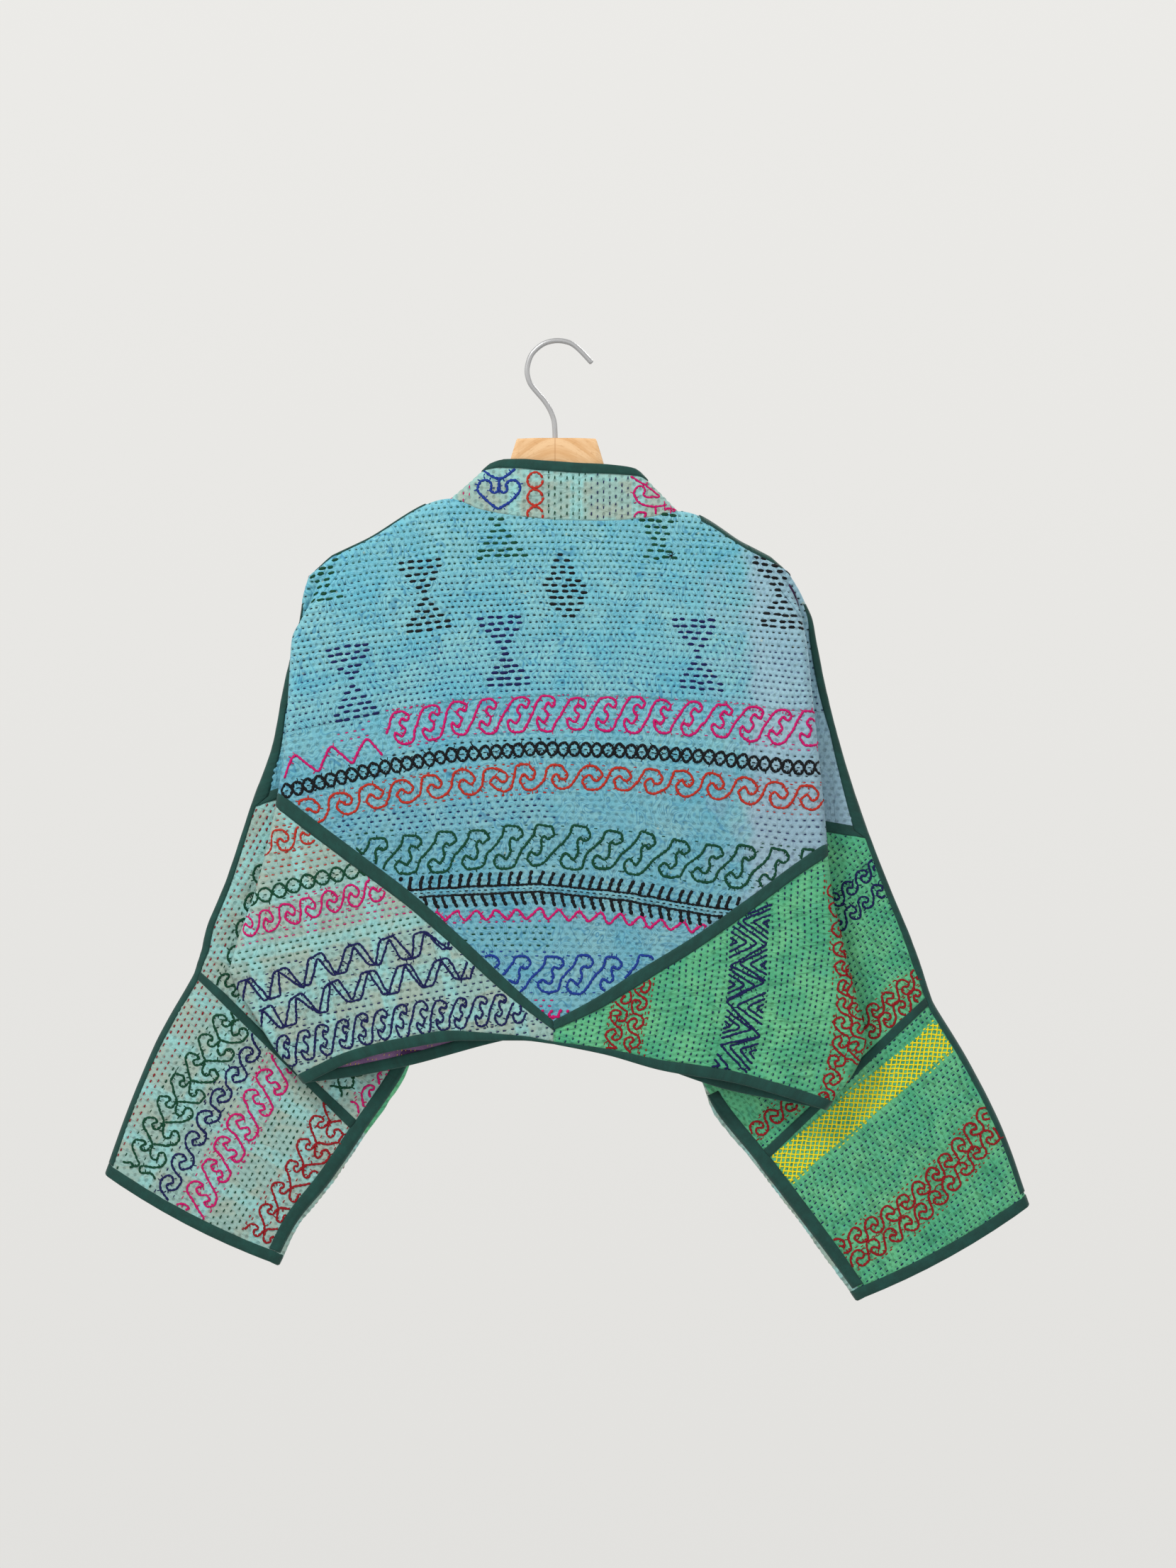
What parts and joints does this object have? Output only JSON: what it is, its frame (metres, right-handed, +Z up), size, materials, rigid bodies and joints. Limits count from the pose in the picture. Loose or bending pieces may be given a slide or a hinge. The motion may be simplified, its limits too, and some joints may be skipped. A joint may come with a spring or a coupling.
{
  "type": "kantha jacket on a wooden hanger",
  "caption": "Boxy quilted patchwork jacket with cut-in-one wide sleeves, a low standing collar and bound edges, hung by the neck on a wooden hanger.",
  "frame": {"origin": "inner crown of the hanger's hook, where a rail or a wall peg carries it", "axes": "+Z up; +X towards the viewer's right when looking at the jacket's back; -Y towards that viewer, so the jacket's back faces -Y and its front faces the wall on +Y"},
  "size_m": [0.8414, 0.0486, 0.8748],
  "materials": {
    "quilt_teal": "soft matt cotton, hand quilted",
    "quilt_mint": "soft matt cotton, hand quilted",
    "quilt_green": "soft matt cotton, hand quilted",
    "binding_green": "plain cotton tape with a slight sheen",
    "beech": "satin varnish",
    "steel_wire": "bright wire"
  },
  "bodies": {
    "root": {"back_centre": "quilt_teal", "back_cuff_left": "quilt_mint", "back_cuff_right": "quilt_green", "back_lower_left": "quilt_mint", "back_lower_right": "quilt_green", "collar": "quilt_mint", "front_cuff_left": "quilt_mint", "front_cuff_right": "quilt_mint", "front_lower_left": "quilt_green", "front_lower_right": "quilt_mint", "front_upper_left": "quilt_teal", "front_upper_right": "quilt_teal", "hanger_hook": "steel_wire", "hanger_wood": "beech", "tape_collar": "binding_green", "tape_cuff_left": "binding_green", "tape_cuff_right": "binding_green", "tape_diagonal_front_left": "binding_green", "tape_diagonal_front_right": "binding_green", "tape_diagonal_left": "binding_green", "tape_diagonal_right": "binding_green", "tape_diagonal_sleeve_left": "binding_green", "tape_diagonal_sleeve_right": "binding_green", "tape_front_left": "binding_green", "tape_front_right": "binding_green", "tape_hem": "binding_green", "tape_overarm_left": "binding_green", "tape_overarm_right": "binding_green", "tape_shoulder_left": "binding_green", "tape_shoulder_right": "binding_green", "tape_sleeve_back_left": "binding_green", "tape_sleeve_back_right": "binding_green", "tape_sleeve_front_left": "binding_green", "tape_sleeve_front_right": "binding_green", "tape_sleeve_yoke_left": "binding_green", "tape_sleeve_yoke_right": "binding_green", "tape_underarm_left": "binding_green", "tape_underarm_right": "binding_green"}
  },
  "joints": []
}
